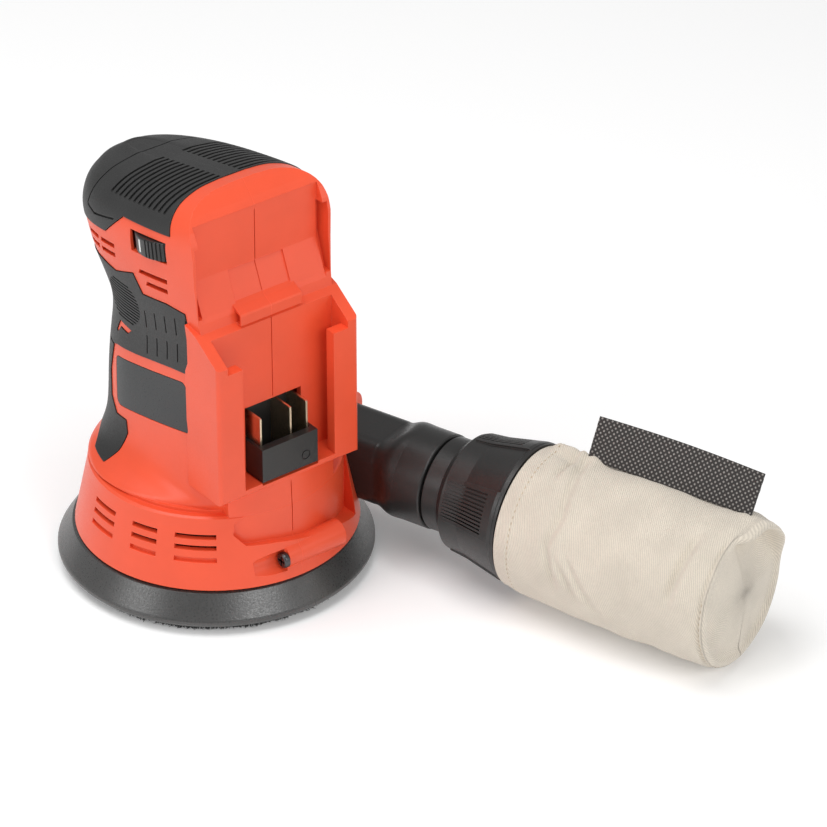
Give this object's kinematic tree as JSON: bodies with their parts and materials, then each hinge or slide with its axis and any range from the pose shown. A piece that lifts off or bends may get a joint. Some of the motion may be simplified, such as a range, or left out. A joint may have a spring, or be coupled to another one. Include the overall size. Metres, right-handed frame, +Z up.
{
  "type": "orbital sander",
  "caption": "Cordless random orbital sander with a round hook-and-loop pad, palm grip, speed dial, battery seat and twist-lock cloth dust bag.",
  "frame": {"origin": "on the motor axis, in the plane of the abrasive face", "axes": "+Z up the motor axis, +Y from the battery seat towards the palm nose, +X to the user's right"},
  "size_m": [0.199, 0.2616, 0.1762],
  "materials": {
    "housing_plastic": "moulded ABS, fine satin grain",
    "grip_rubber": "matt soft-touch thermoplastic rubber, fine grain",
    "label_plate": "smooth satin film",
    "black_plastic": "moulded glass-filled nylon, fine spark texture",
    "contact_metal": "tinned brass blade",
    "circuit_board": "green solder mask",
    "lead_jacket": "PVC jacket",
    "bearing_steel": "ground steel",
    "motor_steel": "zinc-plated steel",
    "magnet": "ferrite",
    "carbon": "carbon",
    "copper": "enamelled copper",
    "cast_alloy": "die-cast alloy",
    "weight_steel": "pressed steel",
    "pad_nylon": "moulded nylon",
    "screw_steel": "black-oxide steel",
    "pad_foam": "moulded polyurethane skin",
    "hook_felt": "hook fibres",
    "brake_rubber": "matt rubber",
    "bag_cotton": "undyed cotton twill",
    "strip_felt": "embossed non-woven"
  },
  "bodies": {
    "housing": {"housing_left": "housing_plastic", "housing_right": "housing_plastic", "palm_grip_left": "grip_rubber", "palm_grip_right": "grip_rubber", "side_grip_left": "grip_rubber", "side_grip_right": "grip_rubber", "front_grip_left": "grip_rubber", "front_grip_right": "grip_rubber", "label_plate_left": "label_plate", "label_plate_right": "label_plate", "terminal_block": "black_plastic", "terminal_blades": "contact_metal", "potentiometer": "black_plastic", "power_switch": "black_plastic", "control_board": "circuit_board", "supply_leads": "lead_jacket", "motor_leads": "lead_jacket", "switch_leads": "lead_jacket", "bearing_plate": "black_plastic", "lower_bearing": "bearing_steel", "upper_bearing": "bearing_steel", "motor_can": "motor_steel", "motor_end_cap": "black_plastic", "magnets": "magnet", "brushes": "carbon", "brake_ring": "brake_rubber", "exhaust_outlet": "black_plastic", "skirt_screw": "screw_steel", "housing_screws": "screw_steel"},
    "rotor": {"motor_shaft": "bearing_steel", "armature": "motor_steel", "windings": "copper", "commutator": "copper", "eccentric_hub": "cast_alloy", "fan": "black_plastic", "counterweight": "weight_steel", "pad_bearing": "bearing_steel"},
    "pad": {"pad_spindle": "bearing_steel", "retaining_ring": "bearing_steel", "backing_plate": "pad_nylon", "pad_screw": "screw_steel", "foam_pad": "pad_foam", "hook_layer": "hook_felt"},
    "dial": {"speed_dial": "black_plastic"},
    "rocker": {"power_rocker": "black_plastic"},
    "dust_bag": {"bag_neck": "black_plastic", "dust_bag": "bag_cotton", "bag_strip": "strip_felt"},
    "collar": {"locking_collar": "black_plastic"}
  },
  "joints": [
    {"name": "rotor_spin", "type": "hinge", "parent": "housing", "child": "rotor", "pos_m": [0, 0, 0.06], "axis": [0, 0, 1], "continuous": true},
    {"name": "pad_spin", "type": "hinge", "parent": "rotor", "child": "pad", "pos_m": [0, 0.00125, 0.02], "axis": [0, 0, 1], "continuous": true},
    {"name": "dial_turn", "type": "hinge", "parent": "housing", "child": "dial", "pos_m": [-0.0189, -0.0086, 0.1528], "axis": [0, 0.1305, 0.9914], "range_deg": [0, 288]},
    {"name": "rocker_tilt", "type": "hinge", "parent": "housing", "child": "rocker", "pos_m": [0, 0.0496, 0.145], "axis": [1, 0, 0], "range_deg": [0, 12]},
    {"name": "bag_pull", "type": "slide", "parent": "housing", "child": "dust_bag", "axis": [0.309, -0.9511, 0], "range_m": [0, 0.045]},
    {"name": "collar_twist", "type": "hinge", "parent": "dust_bag", "child": "collar", "pos_m": [0.07427, -0.08084, 0.034], "axis": [0.309, -0.9511, 0], "range_deg": [0, 45]}
  ]
}
